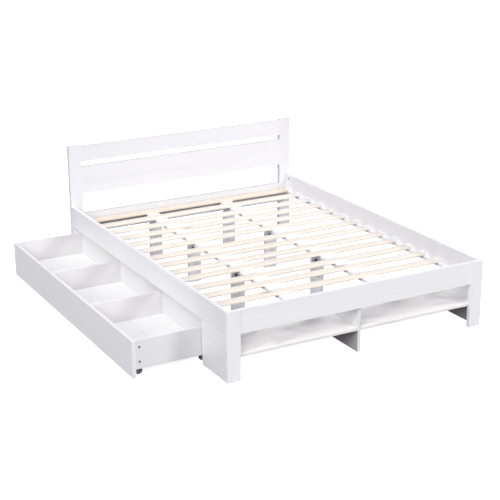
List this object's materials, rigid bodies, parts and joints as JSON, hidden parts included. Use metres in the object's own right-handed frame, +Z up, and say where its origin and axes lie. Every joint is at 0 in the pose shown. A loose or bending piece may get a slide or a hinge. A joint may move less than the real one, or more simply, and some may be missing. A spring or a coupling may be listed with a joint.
{
  "type": "bed frame",
  "caption": "White wooden double bed frame with a panelled headboard, slatted base, open foot shelf and a roll-out side drawer on castors.",
  "frame": {"origin": "on the floor, mid-width, at the centre of the foot shelf divider's underside", "axes": "+Z up, +Y from the foot end to the headboard, +X across the bed away from the drawer side"},
  "size_m": [1.9308, 2.0608, 0.75],
  "materials": {
    "white_paint": "satin white lacquer over wood",
    "drawer_paint": "satin white lacquer over board",
    "slat_pine": "bare planed pine",
    "dowel_beech": "bare fluted beech",
    "white_plastic": "matt moulded",
    "zinc_steel": "zinc plated",
    "dark_steel": "black oxide",
    "castor_rubber": "matt moulded rubber"
  },
  "bodies": {
    "frame": {"headboard_stile_left": "white_paint", "headboard_stile_right": "white_paint", "headboard_top_rail": "white_paint", "headboard_panel": "white_paint", "head_rail": "white_paint", "side_rail_left": "white_paint", "side_rail_right": "white_paint", "foot_rail": "white_paint", "foot_leg_left": "white_paint", "foot_leg_right": "white_paint", "foot_side_panel_left": "white_paint", "foot_side_panel_right": "white_paint", "shelf_divider": "white_paint", "shelf_board_left": "white_paint", "shelf_board_right": "white_paint", "shelf_back_panel": "white_paint", "slat_ledge_left": "white_paint", "slat_ledge_right": "white_paint", "centre_beam_left": "white_paint", "centre_beam_right": "white_paint", "beam_leg_left_foot": "white_paint", "beam_leg_left_middle": "white_paint", "beam_leg_left_head": "white_paint", "beam_leg_right_foot": "white_paint", "beam_leg_right_middle": "white_paint", "beam_leg_right_head": "white_paint", "slat_1": "slat_pine", "slat_2": "slat_pine", "slat_3": "slat_pine", "slat_4": "slat_pine", "slat_5": "slat_pine", "slat_6": "slat_pine", "slat_7": "slat_pine", "slat_8": "slat_pine", "slat_9": "slat_pine", "slat_10": "slat_pine", "slat_11": "slat_pine", "slat_12": "slat_pine", "slat_13": "slat_pine", "slat_end_caps": "white_plastic", "rail_bolts": "zinc_steel", "barrel_nuts": "zinc_steel", "dowels": "dowel_beech", "beam_brackets": "zinc_steel", "beam_fasteners": "dark_steel", "screw_caps": "white_plastic"},
    "drawer": {"drawer_front": "drawer_paint", "drawer_back": "drawer_paint", "drawer_end_foot": "drawer_paint", "drawer_end_head": "drawer_paint", "drawer_divider_foot": "drawer_paint", "drawer_divider_head": "drawer_paint", "drawer_bottom": "drawer_paint", "drawer_screws": "zinc_steel", "castor_housings": "zinc_steel", "castor_axles": "dark_steel"},
    "wheel_front_foot": {"castor_wheel_front_foot": "castor_rubber"},
    "wheel_front_head": {"castor_wheel_front_head": "castor_rubber"},
    "wheel_rear_foot": {"castor_wheel_rear_foot": "castor_rubber"},
    "wheel_rear_head": {"castor_wheel_rear_head": "castor_rubber"}
  },
  "joints": [
    {"name": "drawer_slide", "type": "slide", "parent": "frame", "child": "drawer", "axis": [1, 0, 0], "range_m": [-0.06, 0.38]},
    {"name": "castor_spin_front_foot", "type": "hinge", "parent": "drawer", "child": "wheel_front_foot", "pos_m": [-1.102, 0.191, 0.02], "axis": [0, 1, 0], "continuous": true},
    {"name": "castor_spin_front_head", "type": "hinge", "parent": "drawer", "child": "wheel_front_head", "pos_m": [-1.102, 1.839, 0.02], "axis": [0, 1, 0], "continuous": true},
    {"name": "castor_spin_rear_foot", "type": "hinge", "parent": "drawer", "child": "wheel_rear_foot", "pos_m": [-0.748, 0.191, 0.02], "axis": [0, 1, 0], "continuous": true},
    {"name": "castor_spin_rear_head", "type": "hinge", "parent": "drawer", "child": "wheel_rear_head", "pos_m": [-0.748, 1.839, 0.02], "axis": [0, 1, 0], "continuous": true}
  ],
  "couplings": [
    {"joint": "castor_spin_front_foot", "follows": "drawer_slide", "rad_per_m": 50},
    {"joint": "castor_spin_front_head", "follows": "drawer_slide", "rad_per_m": 50},
    {"joint": "castor_spin_rear_foot", "follows": "drawer_slide", "rad_per_m": 50},
    {"joint": "castor_spin_rear_head", "follows": "drawer_slide", "rad_per_m": 50}
  ]
}
